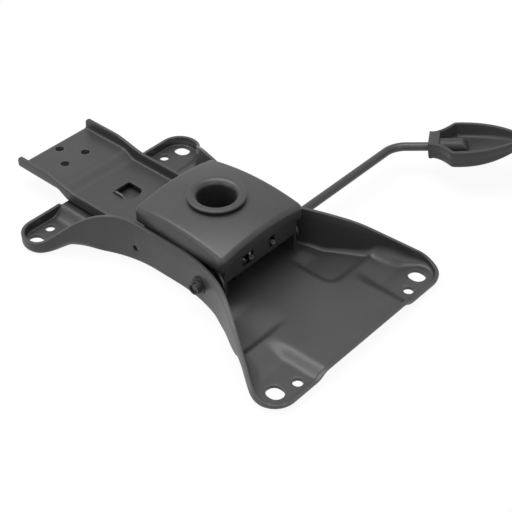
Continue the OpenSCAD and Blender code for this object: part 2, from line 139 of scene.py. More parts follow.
def worn_edges(tree, colour, base, edge):
    """The colour with paler convex edges."""
    geometry = tree.nodes.new("ShaderNodeNewGeometry")
    worn = tree.nodes.new("ShaderNodeMapRange")
    worn.inputs["From Min"].default_value = WEAR_BAND[0]
    worn.inputs["From Max"].default_value = WEAR_BAND[1]
    worn.inputs["To Max"].default_value = edge
    tree.links.new(geometry.outputs["Pointiness"], worn.inputs["Value"])
    blend = tree.nodes.new("ShaderNodeMix")
    blend.data_type = "RGBA"
    blend.inputs["B"].default_value = [min(1.0, WEAR_GAIN * c + WEAR_LIFT) for c in base] + [1.0]
    tree.links.new(worn.outputs["Result"], blend.inputs["Factor"])
    tree.links.new(colour, blend.inputs["A"])
    return blend.outputs["Result"]


def material(name, base, rough, metal=0.0, specular=0.5, tone=0.12, tone_scale=35.0, grain=0.10,
             grain_scale=900.0, edge=0.0):
    """A procedural surface: broad tone drift, fine grain in bump and roughness, and paler worn edges."""
    mat = bpy.data.materials.new(name)
    mat.use_nodes = True
    tree = mat.node_tree
    tree.nodes.clear()
    link = tree.links.new
    out = tree.nodes.new("ShaderNodeOutputMaterial")
    shader = tree.nodes.new("ShaderNodeBsdfPrincipled")
    link(shader.outputs["BSDF"], out.inputs["Surface"])
    shader.inputs["Metallic"].default_value = metal
    shader.inputs["Specular IOR Level"].default_value = specular
    coords = tree.nodes.new("ShaderNodeTexCoord")

    colour = tone_drift(tree, noise(tree, coords, tone_scale, TONE_DETAIL), base, tone)
    if edge > 0.0:
        colour = worn_edges(tree, colour, base, edge)
    link(colour, shader.inputs["Base Color"])

    fine = noise(tree, coords, grain_scale, GRAIN_DETAIL)
    roughness = tree.nodes.new("ShaderNodeMapRange")
    roughness.inputs["To Min"].default_value = rough - ROUGH_SWING
    roughness.inputs["To Max"].default_value = rough + ROUGH_SWING
    link(fine, roughness.inputs["Value"])
    link(roughness.outputs["Result"], shader.inputs["Roughness"])
    bump = tree.nodes.new("ShaderNodeBump")
    bump.inputs["Strength"].default_value = grain
    bump.inputs["Distance"].default_value = GRAIN_DEPTH
    link(fine, bump.inputs["Height"])
    link(bump.outputs["Normal"], shader.inputs["Normal"])
    return mat


powder = material("powder_coat", (0.030, 0.030, 0.031), 0.42, grain=0.08, edge=0.3)
lever_coat = material("lever_coat", (0.030, 0.030, 0.031), 0.40, grain=0.08, edge=0.2)
plastic = material("moulded_plastic", (0.036, 0.036, 0.037), 0.48, specular=0.32, grain=0.14,
                   grain_scale=1500.0, edge=0.25)
# Painted shade: the pivot bracket's coat is darker than the powder coat, to stand for the shade under the
# cap.
bracket_painted_shade = material("bracket_painted_shade", (0.021, 0.021, 0.022), 0.46, specular=0.4, grain=0.08, edge=0.2)
blackened = material("blackened_steel", (0.008, 0.008, 0.008), 0.42, specular=0.3, tone=0.25,
                     tone_scale=160.0, edge=0.8)
# Painted shade: the socket's bore gets a darker coat than the powder coat, to stand for the shade in the
# hole.
bore_painted_shade = material("painted_shade_bore", (0.022, 0.022, 0.022), 0.50, tone=0.2, tone_scale=120.0)
washer_steel = material("washer_steel", (0.10, 0.10, 0.10), 0.45, metal=1.0, tone=0.3, tone_scale=220.0)
zinc = material("zinc_plate", (0.40, 0.40, 0.395), 0.36, metal=1.0, tone=0.25, tone_scale=220.0, grain=0.06)
spring_wire = material("spring_wire", (0.06, 0.06, 0.06), 0.45, metal=1.0, tone=0.25, tone_scale=300.0)
nylon = material("black_nylon", (0.015, 0.015, 0.016), 0.50, tone=0.05, tone_scale=90.0, grain=0.05)
rubber = material("stop_rubber", (0.015, 0.015, 0.016), 0.75, grain=0.25, grain_scale=1200.0)


# Mesh helpers

SAME_POINT = 0.02
EASE_ANGLE = math.radians(48.0)
SHARP_ANGLE = math.radians(38.0)
NET_CLEAR = 0.55
NET_ROW = 0.87
TIP_EASE = 0.14


def add_object(name, bm):
    mesh = bpy.data.meshes.new(name)
    bm.to_mesh(mesh)
    bm.free()
    obj = bpy.data.objects.new(name, mesh)
    scene.collection.objects.link(obj)
    return obj


def finish_piece(obj, mat, body, node, sharp_angle=SHARP_ANGLE):
    """Dresses a piece that stands for a CAD node, and rides it on a body if one is named."""
    obj.data.materials.clear()
    obj.data.materials.append(mat)
    for face in obj.data.polygons:
        face.use_smooth = True
    obj.data.set_sharp_from_angle(angle=sharp_angle)
    if body:
        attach(obj, body)
    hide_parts(node)


def settle(obj):
    """Applies an object's modifiers, so that only the mesh is left."""
    graph = bpy.context.evaluated_depsgraph_get()
    mesh = bpy.data.meshes.new_from_object(obj.evaluated_get(graph))
    obj.modifiers.clear()
    old = obj.data
    obj.data = mesh
    bpy.data.meshes.remove(old)
    mesh.name = obj.name


def thicken(obj, bevel, cutter=None):
    """Gives a sheet its thickness below its face, cuts holes and eases the edges."""
    solid = obj.modifiers.new("solid", "SOLIDIFY")
    solid.thickness = SHEET * MM
    solid.offset = -1.0
    solid.use_even_offset = True
    settle(obj)
    if cutter is not None:
        cut = obj.modifiers.new("cut", "BOOLEAN")
        cut.operation = "DIFFERENCE"
        cut.solver = "EXACT"
        cut.object = cutter
        settle(obj)
        bpy.data.objects.remove(cutter)
    ease = obj.modifiers.new("ease", "BEVEL")
    ease.width = bevel * MM
    ease.segments = 2
    ease.limit_method = "ANGLE"
    ease.angle_limit = EASE_ANGLE
    ease.use_clamp_overlap = True
    settle(obj)


def outward(bm):
    bmesh.ops.recalc_face_normals(bm, faces=bm.faces)


def look_up(bm, x):
    """Turns an open sheet so that its face at this place on the middle line looks up."""
    outward(bm)

    def distance(face):
        middle = face.calc_center_median()
        return abs(middle.x - x * MM) + abs(middle.y)

    if min(bm.faces, key=distance).normal.z < 0:
        bmesh.ops.reverse_faces(bm, faces=bm.faces)


def join_points(bm):
    bmesh.ops.remove_doubles(bm, verts=bm.verts, dist=SAME_POINT * MM)


def strips(bm, rings, closed):
    """Joins rings of points with quads and returns the rings of vertices."""
    made = [[bm.verts.new(p) for p in ring] for ring in rings]
    for a, b in zip(made, made[1:]):
        count = len(a)
        for i in range(count if closed else count - 1):
            j = (i + 1) % count
            bm.faces.new((a[i], a[j], b[j], b[i]))
    return made


def capped(bm, rings):
    """Strips with a face on each end."""
    made = strips(bm, rings, True)
    bm.faces.new(list(reversed(made[0])))
    bm.faces.new(made[-1])
    return made


def inside(point, loop):
    x, y = point
    hit = False
    j = len(loop) - 1
    for i in range(len(loop)):
        xi, yi = loop[i]
        xj, yj = loop[j]
        if (yi > y) != (yj > y) and x < (xj - xi) * (y - yi) / (yj - yi) + xi:
            hit = not hit
        j = i
    return hit


def fill(bm, border, holes, height, step, lift):
    """Fills a flat loop, less its holes, with a fine triangle net that follows a height function."""
    points = []
    edges = []
    for loop in [border] + holes:
        first = len(points)
        points += [Vector(p) for p in loop]
        edges += [(first + i, first + (i + 1) % len(loop)) for i in range(len(loop))]
    taken = {}
    for p in points:
        taken.setdefault((int(p.x // step), int(p.y // step)), []).append(p)

    def in_sheet(p):
        return inside(p, border) and not any(inside(p, loop) for loop in holes)

    def crowded(x, y):
        cell_x = int(x // step)
        cell_y = int(y // step)
        for cx in range(cell_x - 1, cell_x + 2):
            for cy in range(cell_y - 1, cell_y + 2):
                for p in taken.get((cx, cy), ()):
                    if math.hypot(p.x - x, p.y - y) < NET_CLEAR * step:
                        return True
        return False

    xs = [p[0] for p in border]
    ys = [p[1] for p in border]
    row = 0
    y = min(ys) + step * 0.5
    while y < max(ys):
        x = min(xs) + step * (0.5 if row % 2 else 1.0)
        while x < max(xs):
            if not crowded(x, y) and in_sheet((x, y)):
                points.append(Vector((x, y)))
            x += step
        y += step * NET_ROW
        row += 1
    verts, _, faces, _, _, _ = delaunay_2d_cdt(points, edges, [], 0, 1e-6)
    made = [bm.verts.new(lift(v.x, v.y, height(v.x, v.y))) for v in verts]
    for face in faces:
        middle = sum((verts[i] for i in face), Vector((0.0, 0.0))) / len(face)
        if in_sheet(middle):
            bm.faces.new([made[i] for i in face])


def circle_loop(cx, cy, r, count=28):
    return [tuple(polar((cx, cy), r, TURN * i / count)) for i in range(count)]


def slot_loop(cx, cy, width, length, count=12):
    half = (length - width) / 2
    loop = []
    for side in (1, -1):
        middle = (cx + side * half, cy)
        start = -QUARTER if side > 0 else QUARTER
        loop += [tuple(polar(middle, width / 2, start + math.pi * i / count)) for i in range(count + 1)]
    return loop


def round_bar(bm, at, r, y0, y1, count=40):
    """A bar along Y with capped ends, for cutting holes through a wall."""
    circle = [polar(at, r, TURN * i / count) for i in range(count)]
    capped(bm, [[place(p.x, y, p.y) for p in circle] for y in (y0, y1)])


def tube(bm, route, r, sides, lean):
    """A round wire along a route of points, with eased ends."""
    rings = []
    last = len(route) - 1
    turns = [TURN * k / sides for k in range(sides)]
    for i, p in enumerate(route):
        t = (route[min(i + 1, last)] - route[max(i - 1, 0)]).normalized()
        u = (lean - t * lean.dot(t)).normalized()
        v = t.cross(u)
        rings.append([p + (u * math.cos(a) + v * math.sin(a)) * r for a in turns])
    tips = []
    for i, j in ((0, 1), (last, last - 1)):
        ahead = (route[i] - route[j]).normalized()
        tips.append([route[i] + (q - route[i]) * (1.0 - TIP_EASE) for q in rings[i]])
        rings[i] = [q - ahead * (TIP_EASE * r) for q in rings[i]]
    capped(bm, [tips[0]] + rings + [tips[1]])
    outward(bm)


# Seat plate: outline of the pressed butterfly tray

WAIST_HALF = 45.25
REAR_EAR = Vector((-110.5, 72.4))
REAR_EAR_R = 17.0
FRONT_EAR = Vector((122.5, 77.0))
FRONT_EAR_R = 18.0
REAR_ARC_X = -20.0
FRONT_ARC_X = 3.0
FRONT_ARC_R = 120.0
FRONT_EDGE = FRONT_EAR.x + FRONT_EAR_R
rear_drop = WAIST_HALF - REAR_EAR.y
rear_run = REAR_ARC_X - REAR_EAR.x
REAR_ARC_R = (rear_run ** 2 + rear_drop ** 2 - REAR_EAR_R ** 2) / (2 * (REAR_EAR_R - rear_drop))
REAR_ARC = Vector((REAR_ARC_X, WAIST_HALF + REAR_ARC_R))
FRONT_ARC = Vector((FRONT_ARC_X, WAIST_HALF + FRONT_ARC_R))
rear_line = REAR_ARC - REAR_EAR
REAR_TURN = math.atan2(rear_line.y, rear_line.x)
front_line = FRONT_EAR - FRONT_ARC
front_cross = math.acos((FRONT_ARC_R + FRONT_EAR_R) / front_line.length)
FRONT_TURN = math.atan2(front_line.y, front_line.x) - front_cross
FRONT_NORMAL = Vector((math.cos(FRONT_TURN), math.sin(FRONT_TURN)))

# Counts of stations along the outline
REAR_EDGE_STEPS = 24
EAR_STEPS = 36
REAR_ARC_STEPS = 44
WAIST_STEPS = 8
FRONT_ARC_STEPS = 40
SIDE_STEPS = 24
FRONT_EDGE_STEPS = 35


def arc(centre, r, a0, a1, steps):
    """Stations on an arc, without its last point."""
    return [polar(centre, r, mix(a0, a1, i / steps)) for i in range(steps)]


def line(a, b, steps):
    """Stations on a straight stretch, without its last point."""
    return [Vector((mix(a.x, b.x, i / steps), mix(a.y, b.y, i / steps))) for i in range(steps)]


def outline_half(inset):
    """Stations of the tray's outline on the far side, from the rear middle to the front middle."""
    rear_r = REAR_EAR_R - inset
    front_r = FRONT_EAR_R - inset
    rear_x = REAR_EAR.x - rear_r
    front_x = FRONT_EDGE - inset
    points = line(Vector((rear_x, 0.0)), Vector((rear_x, REAR_EAR.y)), REAR_EDGE_STEPS)
    points += arc(REAR_EAR, rear_r, math.pi, REAR_TURN, EAR_STEPS)
    points += arc(REAR_ARC, REAR_ARC_R + inset, REAR_TURN + math.pi, 3.0 * QUARTER, REAR_ARC_STEPS)
    waist = WAIST_HALF - inset
    points += line(Vector((REAR_ARC_X, waist)), Vector((FRONT_ARC_X, waist)), WAIST_STEPS)
    points += arc(FRONT_ARC, FRONT_ARC_R + inset, -QUARTER, FRONT_TURN, FRONT_ARC_STEPS)
    arc_end = FRONT_ARC + FRONT_NORMAL * (FRONT_ARC_R + inset)
    line_end = FRONT_EAR - FRONT_NORMAL * front_r
    points += line(arc_end, line_end, SIDE_STEPS)
    points += arc(FRONT_EAR, front_r, FRONT_TURN + math.pi, 0.0, EAR_STEPS)
    front_end = Vector((front_x, 0.0))
    return points + line(Vector((front_x, FRONT_EAR.y)), front_end, FRONT_EDGE_STEPS) + [front_end]


@functools.lru_cache(maxsize=None)
def outline_loop(inset):
    half = outline_half(inset)
    return half + [Vector((p.x, -p.y)) for p in reversed(half[1:-1])]


def outline_point(inset, i):
    """One station of the outline at an inset, to a hundredth so that the loops can be kept."""
    return outline_loop(round(inset, 2))[i]


OUTLINE = outline_half(0.0)


def wall_line(x):
    """Half width of the tray over its walls, read off its outline."""
    for a, b in zip(OUTLINE, OUTLINE[1:]):
        if a.x < x <= b.x:
            return mix(a.y, b.y, (x - a.x) / (b.x - a.x))
    return REAR_EAR.y if x < 0.0 else FRONT_EAR.y


# Seat plate: floor heights, and where each form starts and how far it runs

FLOOR_TOP = 7.5
DECK_TOP = 9.4
PAD_TOP = 2.52
PAD_EDGE = 42.5
PAD_RUN = 9.5
PAD_START_X = 89.0
PAD_FADE = 21.0
REAR_PAD_EDGE = 42.0
REAR_PAD_RUN = 9.0
REAR_PAD_X = -86.0
REAR_PAD_FADE = 13.0
DECK_X = -44.0
DECK_FADE = 6.0
DECK_EDGE = 46.0
DECK_RUN = 5.0
WELL = (-97.5, 3.0)
WELL_HALF = 14.0
WELL_RUN = 3.0
WELL_DEPTH = 3.4
POCKET_CORNER = (78.0, 35.5)
POCKET_R = 9.0
POCKET_RUN = 4.0
POCKET_DEPTH = 2.4
POCKET_START = 46.0
POCKET_FADE = 14.0
NEAR_POCKET_SIDE = 18.0
NEAR_POCKET_FADE = 34.0
WAIST_DROP = 1.3
WAIST_REAR = -95.0
WAIST_REAR_RUN = 12.0
WAIST_FRONT = 70.0
WAIST_FRONT_RUN = 20.0
WAIST_BAND = 14.0
WAIST_BAND_RUN = 9.0


def pocket_share(x, y):
    """Shallow pockets before the housing: the far one has a round corner, the near one fades inwards."""
    side = abs(y)
    ahead = max(x - POCKET_CORNER[0], 0.0)
    beside = max(POCKET_CORNER[1] - side, 0.0)
    start = rising(x, POCKET_START, POCKET_FADE)
    if y < 0.0:
        start *= rising(side, NEAR_POCKET_SIDE, NEAR_POCKET_FADE)
        beside = 0.0
    outside = math.hypot(ahead, beside) - POCKET_R
    return ramp(0.5 - outside / POCKET_RUN) * start


def floor_height(x, y):
    """Height of the tray's floor: pads at the ears, deck under the channel, well and pockets."""
    side = abs(y)
    front = ramp((side - PAD_EDGE) / PAD_RUN) * ramp((x - PAD_START_X) / PAD_FADE)
    rear = falling(x, REAR_PAD_X, REAR_PAD_FADE) * ramp((side - REAR_PAD_EDGE) / REAR_PAD_RUN)
    deck = falling(x, DECK_X, DECK_FADE) * falling(side, DECK_EDGE, DECK_RUN)
    well = falling(abs(x - WELL[0]), WELL_HALF, WELL_RUN) * falling(abs(y - WELL[1]), WELL_HALF, WELL_RUN)
    waist = rising(x, WAIST_REAR, WAIST_REAR_RUN) * falling(x, WAIST_FRONT, WAIST_FRONT_RUN)
    waist *= falling(wall_line(x) - side, WAIST_BAND, WAIST_BAND_RUN)
    h = FLOOR_TOP + (DECK_TOP - FLOOR_TOP) * deck * (1.0 - rear)
    h -= POCKET_DEPTH * pocket_share(x, y) + WELL_DEPTH * well
    h = mix(mix(h, PAD_TOP, front), PAD_TOP, rear)
    return h - WAIST_DROP * waist * (1.0 - deck)


# Seat plate: wall heights

WALL_H = 38.0
CREST_X = -47.0
CREST_H = 40.2
CREST_R = 56.0
CREST_RUN = CREST_R * math.sqrt(0.5)
CROWN_X = -24.0
BROW_X = 45.0
BROW_R = 88.0
BROW_TURN = math.radians(28.0)
BROW_END = (BROW_X + BROW_R * math.sin(BROW_TURN), WALL_H - BROW_R * (1 - math.cos(BROW_TURN)))
EAR_RIM_H = 6.0
EAR_RIM_SOFT = 1.6
FRONT_LIP_H = 9.0
FRONT_LIP_END = 56.0
FRONT_LIP_RUN = 12.0
REAR_RIM_H = 9.8
REAR_RIM_SOFT = 2.4
REAR_GAP_X = -124.0
REAR_GAP_HALF = 40.0
REAR_GAP_RUN = 2.0
REAR_GAP_LIP = 0.2


def wall_height(x, y):
    """Height of the tray's wall or lip over the seat face."""
    side = abs(y)
    if x > BROW_END[0]:
        slope = BROW_END[1] - (x - BROW_END[0]) * math.tan(BROW_TURN)
        lip = mix(EAR_RIM_H, FRONT_LIP_H, falling(side, FRONT_LIP_END, FRONT_LIP_RUN))
        return max(soft_floor(slope, EAR_RIM_H, EAR_RIM_SOFT), lip)
    if x > BROW_X:
        return WALL_H - BROW_R + math.sqrt(BROW_R ** 2 - (x - BROW_X) ** 2)
    if x > CROWN_X:
        return WALL_H
    if x > CREST_X:
        return mix(CREST_H, WALL_H, rising(x, CREST_X, CROWN_X - CREST_X))
    run = min(CREST_X - x, CREST_RUN)
    crest = CREST_H - CREST_R + math.sqrt(CREST_R ** 2 - run ** 2) - (CREST_X - x - run)
    rim = soft_floor(crest, REAR_RIM_H, REAR_RIM_SOFT)
    if x < REAR_GAP_X:
        return mix(DECK_TOP + REAR_GAP_LIP, rim, rising(side, REAR_GAP_HALF, REAR_GAP_RUN))
    return rim


# Seat plate: inside radius of the fold between wall and floor, with wider folds behind the ears

WAIST_BEND = 1.2
FRONT_BEND = 4.5
FRONT_BEND_X = 15.0
FRONT_BEND_RUN = 75.0
EAR_BEND = 3.0
EAR_BEND_X = 98.0
EAR_BEND_RUN = 12.0
GUSSET_BEND = 6.0
GUSSETS = ((101.0, 26.0), (-84.0, 21.0))
LEAST_BEND = 0.5
BEND_SHARE = 0.85
BEND_STEPS = 12
WALL_ROWS = (0.0, 0.35, 0.7)
FOOT_INSET = 2.0


def fold_radius(x, wall):
    bend = mix(WAIST_BEND, FRONT_BEND, rising(x, FRONT_BEND_X, FRONT_BEND_RUN))
    bend = mix(bend, EAR_BEND, rising(x, EAR_BEND_X, EAR_BEND_RUN))
    for middle, half in GUSSETS:
        bend += GUSSET_BEND * falling(abs(x - middle), half, half)
    return min(bend, max(LEAST_BEND, BEND_SHARE * wall))


# Seat plate: holes, as x, half gauge and size, and wall holes, as x and height

SLOT_X = (-113.2, 124.3)
SLOT_Y = 78.5
SLOT_W = 12.0
SLOT_LEN = 13.6
HOLE_X = (-117.0, 129.3)
HOLE_Y = 61.5
HOLE_R = 3.9
BUSH_HOLE_R = 6.45
NEAR_HOLE = (-37.3, 17.0)
NEAR_HOLE_R = 2.8
LOCK_HOLE = (35.0, 30.0)
LOCK_HOLE_R = 2.55
CUT_FROM = 36.0
CUT_TO = 60.0
TRAY_STEP = 2.2
TRAY_EDGE = 0.5
TRAY_MIDDLE = 70.0


def seat_holes():
    holes = []
    for x in SLOT_X:
        holes += [slot_loop(x, side * SLOT_Y, SLOT_W, SLOT_LEN) for side in (-1, 1)]
    for x in HOLE_X:
        holes += [circle_loop(x, side * HOLE_Y, HOLE_R) for side in (-1, 1)]
    return holes


def wall_cutter():
    """Bars for the pivot bushes, the plain hole in the near wall and the lock pin's hole in the far one."""
    bm = bmesh.new()
    round_bar(bm, PIVOT, BUSH_HOLE_R, -CUT_TO, -CUT_FROM)
    round_bar(bm, PIVOT, BUSH_HOLE_R, CUT_FROM, CUT_TO)
    round_bar(bm, NEAR_HOLE, NEAR_HOLE_R, -CUT_TO, -CUT_FROM)
    round_bar(bm, LOCK_HOLE, LOCK_HOLE_R, CUT_FROM, CUT_TO)
    outward(bm)
    return add_object("seat_cutter", bm)


def build_seat_plate():
    """The tray's inner face: wall, fold and floor, then its thickness."""
    top = outline_loop(SHEET)
    feet = [floor_height(p.x, p.y) for p in outline_loop(SHEET + FOOT_INSET)]
    heights = [wall_height(p.x, p.y) for p in top]
    bends = [fold_radius(p.x, h - f) for p, h, f in zip(top, heights, feet)]
    rings = []
    for u in WALL_ROWS:
        ring = []
        for p, h, f, bend in zip(top, heights, feet, bends):
            ring.append(place(p.x, p.y, mix(h, min(f + bend, h), u)))
        rings.append(ring)
    for k in range(BEND_STEPS + 1):
        a = QUARTER * k / BEND_STEPS
        ring = []
        for i, bend in enumerate(bends):
            p = outline_point(SHEET + bend * (1.0 - math.cos(a)), i)
            base = floor_height(p.x, p.y)
            ring.append(place(p.x, p.y, base + min(bend * (1.0 - math.sin(a)), heights[i] - base)))
        rings.append(ring)
    bm = bmesh.new()
    strips(bm, rings, True)
    border = [tuple(outline_point(SHEET + bend, i)) for i, bend in enumerate(bends)]
    fill(bm, border, seat_holes(), floor_height, TRAY_STEP, place)
    join_points(bm)
    look_up(bm, TRAY_MIDDLE)
    obj = add_object("seat_tray", bm)
    thicken(obj, TRAY_EDGE, wall_cutter())
    finish_piece(obj, powder, "seat", "seat_plate")


# Back bracket: the channel for the back upright

CHANNEL_HALF = 37.0
CHANNEL_END = -180.0
CHANNEL_FRONT = -52.0
CHANNEL_FLOOR = 12.0
CHANNEL_SIDE = 9.0
CHANNEL_BEND = 1.8
CHANNEL_BEND_STEPS = 6
CHANNEL_EDGE = 0.4
CHANNEL_STEP = 2.5
CHANNEL_CROSS_STEPS = 30
CHANNEL_MIDDLE = -75.0
END_ROUND = 4.0
END_FINE = 5.0
JOGGLE_RISE = 5.5
JOGGLE_X = -124.0
JOGGLE_RUN = 10.0
JOGGLE_EASE = 1.6
JOGGLE_FINE = (-142.0, -116.0)
FLANGE_JOGGLE_X = -114.0
FLANGE_JOGGLE_RUN = 30.0
FINE_STATION = 1.0
STATION = 2.0
BACK_CIRCLE_X = -160.8
BACK_CIRCLE_R = 12.4
BACK_HOLE_R = 3.3


def channel_height(x):
    """Floor of the channel along its length: a straight joggle with eased bends."""
    rise = 0.0
    for shift, share in ((-JOGGLE_EASE, 0.25), (0.0, 0.5), (JOGGLE_EASE, 0.25)):
        rise += share * clamp((JOGGLE_X - x + shift) / JOGGLE_RUN)
    return CHANNEL_FLOOR + JOGGLE_RISE * rise


def flange_top(x):
    """Top of the channel's sides: it takes the joggle over a longer run, and has a round end."""
    near_end = clamp((CHANNEL_END + END_ROUND - x) / END_ROUND)
    drop = END_ROUND * (1.0 - math.sqrt(1.0 - near_end ** 2))
    joggle = JOGGLE_RISE * ramp((FLANGE_JOGGLE_X - x) / FLANGE_JOGGLE_RUN)
    return CHANNEL_FLOOR + CHANNEL_SIDE + joggle - drop


def channel_stations():
    """Places along the channel, closer together at its end and at the joggle."""
    stations = [CHANNEL_END]
    while stations[-1] < CHANNEL_FRONT:
        x = stations[-1]
        fine = x < CHANNEL_END + END_FINE or JOGGLE_FINE[0] < x < JOGGLE_FINE[1]
        stations.append(x + (FINE_STATION if fine else STATION))
    return stations


def back_holes():
    middle = (BACK_CIRCLE_X, 0.0)
    centres = [polar(middle, BACK_CIRCLE_R, math.pi * (1 + 2 * i) / 3) for i in range(3)]
    return [circle_loop(p.x, p.y, BACK_HOLE_R) for p in centres]


def build_back_bracket():
    """The channel's inner face: two sides with their folds and the floor, then its thickness."""
    bm = bmesh.new()
    inner = CHANNEL_HALF - SHEET
    edge = inner - CHANNEL_BEND
    stations = channel_stations()
    for side in (-1, 1):
        rings = []
        for u in (0.0, 0.5):
            ring = []
            for x in stations:
                foot = channel_height(x) + CHANNEL_BEND
                ring.append(place(x, side * inner, mix(flange_top(x), foot, u)))
            rings.append(ring)
        for k in range(CHANNEL_BEND_STEPS + 1):
            a = QUARTER * k / CHANNEL_BEND_STEPS
            y = inner - CHANNEL_BEND * (1.0 - math.cos(a))
            rise = CHANNEL_BEND * (1.0 - math.sin(a))
            rings.append([place(x, side * y, channel_height(x) + rise) for x in stations])
        strips(bm, rings, False)
    across = [mix(-edge, edge, i / CHANNEL_CROSS_STEPS) for i in range(1, CHANNEL_CROSS_STEPS)]
    border = [(x, -edge) for x in stations]
    border += [(stations[-1], y) for y in across]
    border += [(x, edge) for x in reversed(stations)]
    border += [(stations[0], y) for y in reversed(across)]
    holes = back_holes() + [window_loop()]
    fill(bm, border, holes, lambda x, y: channel_height(x), CHANNEL_STEP, place)
    join_points(bm)
    look_up(bm, CHANNEL_MIDDLE)
    obj = add_object("back_channel", bm)
    thicken(obj, CHANNEL_EDGE)
    lance_tab(obj)
    finish_piece(obj, powder, "seat", "back_bracket")


WINDOW_REAR = -105.0
WINDOW_NEAR = -5.0
WINDOW_FAR = 11.0
WINDOW_ARC = Vector((-98.1, 1.65))
WINDOW_ARC_R = 11.4
WINDOW_ARC_STEPS = 24
WINDOW_SIDE_STEPS = 6


def window_loop():
    """Window with three straight edges and a front edge that is one round sweep."""
    low = math.asin((WINDOW_NEAR - WINDOW_ARC.y) / WINDOW_ARC_R)
    high = math.asin((WINDOW_FAR - WINDOW_ARC.y) / WINDOW_ARC_R)
    loop = arc(WINDOW_ARC, WINDOW_ARC_R, low, high, WINDOW_ARC_STEPS)
    corners = [polar(WINDOW_ARC, WINDOW_ARC_R, high), Vector((WINDOW_REAR, WINDOW_FAR)),
               Vector((WINDOW_REAR, WINDOW_NEAR)), loop[0]]
    for a, b in zip(corners, corners[1:]):
        loop += line(a, b, WINDOW_SIDE_STEPS)
    return [tuple(p) for p in loop]


# Lanced tab: its section as offset across and share of the rise, between its two feet
TAB_LEN = 14.0
TAB_W = 2.5
TAB_RISE = 2.2
TAB_FOOT = -1.0
TAB_SECTION = ((-2.2, 0.8), (-1.2, 1.0), (-0.2, 0.85))
TAB_STEPS = 14
TAB_EASE_STEPS = 3.0
TAB_TAIL = 0.6


def lance_tab(obj):
    """The lanced strip that stands up along the window's near edge."""
    rows = []
    for i in range(TAB_STEPS + 1):
        x = WINDOW_REAR + TAB_LEN * i / TAB_STEPS
        rise = TAB_RISE * smooth(min(i, TAB_TAIL * (TAB_STEPS - i)) / TAB_EASE_STEPS)
        section = [(-TAB_W, TAB_FOOT)] + [(y, share * rise) for y, share in TAB_SECTION] + [(0.0, TAB_FOOT)]
        rows.append([place(x, WINDOW_NEAR + y, CHANNEL_FLOOR + h) for y, h in section])
    bm = bmesh.new()
    bm.from_mesh(obj.data)
    capped(bm, rows)
    bm.to_mesh(obj.data)
    bm.free()


# Housing cap: a drawn pan with a crowned top

CAP_REAR = -44.0
CAP_FRONT = 45.5
CAP_MID_X = (CAP_REAR + CAP_FRONT) / 2
CAP_HALF = 41.0
CAP_FRONT_HALF = 43.4
CAP_CORNER = 4.5
CAP_CORNER_STEPS = 10
CAP_SIDE_STEPS = 26
CAP_FILLET = 3.6
CAP_FILLET_STEPS = 8
CAP_FOOT = 39.5
CAP_SIDE_FOOT = 37.0
CAP_SIDE_EDGE = 33.0
CAP_SIDE_RUN = 6.0
CAP_TOP = 56.5
CAP_HOLE_R = 16.6
CAP_TOP_ROWS = 14
CAP_EDGE = 0.35
CROWN_R = 235.0
CROWN_CORNER_DROP = 0.9


def crown(x, y):
    """Height of the cap's top: a large ball, with the corners drawn down a little more."""
    from_middle = x - CAP_MID_X
    ball = CAP_TOP - CROWN_R + math.sqrt(CROWN_R ** 2 - from_middle ** 2 - y ** 2)
    return ball - CROWN_CORNER_DROP * (from_middle / CAP_FRONT) ** 2 * (y / CAP_HALF) ** 2


def cap_foot(y):
    """The skirt reaches lower along the two sides."""
    return mix(CAP_FOOT, CAP_SIDE_FOOT, rising(abs(y), CAP_SIDE_EDGE, CAP_SIDE_RUN))


def cap_loop(inset):
    """The cap's outline drawn in by an inset: four round corners between straight sides."""
    r = CAP_CORNER - inset
    rear = Vector((CAP_REAR + CAP_CORNER, CAP_HALF - CAP_CORNER))
    front = Vector((CAP_FRONT - CAP_CORNER, CAP_FRONT_HALF - CAP_CORNER))
    lean = math.atan2(front.y - rear.y, front.x - rear.x)
    corners = (
        (front, 0.0, QUARTER + lean),
        (rear, QUARTER + lean, 2 * QUARTER),
        (Vector((rear.x, -rear.y)), 2 * QUARTER, 3 * QUARTER - lean),
        (Vector((front.x, -front.y)), 3 * QUARTER - lean, TURN),
    )
    loop = []
    for k, (centre, start, end) in enumerate(corners):
        ahead, ahead_start, _ = corners[(k + 1) % 4]
        loop += arc(centre, r, start, end, CAP_CORNER_STEPS)
        loop += line(polar(centre, r, end), polar(ahead, r, ahead_start), CAP_SIDE_STEPS)
    return loop


def build_housing_cap():
    """The cap's outer face: skirt, round edge and crowned top up to the socket, then its thickness."""
    rings = []
    for u in (0.0, 0.5, 1.0):
        ring = []
        for p in cap_loop(0.0):
            ring.append(place(p.x, p.y, mix(cap_foot(p.y), crown(p.x, p.y) - CAP_FILLET, u)))
        rings.append(ring)
    for k in range(1, CAP_FILLET_STEPS + 1):
        a = QUARTER * k / CAP_FILLET_STEPS
        drop = CAP_FILLET * (1.0 - math.sin(a))
        edge = cap_loop(CAP_FILLET * (1.0 - math.cos(a)))
        rings.append([place(p.x, p.y, crown(p.x, p.y) - drop) for p in edge])
    for k in range(1, CAP_TOP_ROWS + 1):
        ring = []
        for p in cap_loop(CAP_FILLET):
            q = p.lerp(polar((0.0, 0.0), CAP_HOLE_R, math.atan2(p.y, p.x)), k / CAP_TOP_ROWS)
            ring.append(place(q.x, q.y, crown(q.x, q.y)))
        rings.append(ring)
    bm = bmesh.new()
    strips(bm, rings, True)
    look_up(bm, CAP_REAR / 2)
    obj = add_object("cap_shell", bm)
    thicken(obj, CAP_EDGE)
    finish_piece(obj, powder, "housing", "housing_cap")


# Gas-spring socket: a lathe profile with a rolled collar

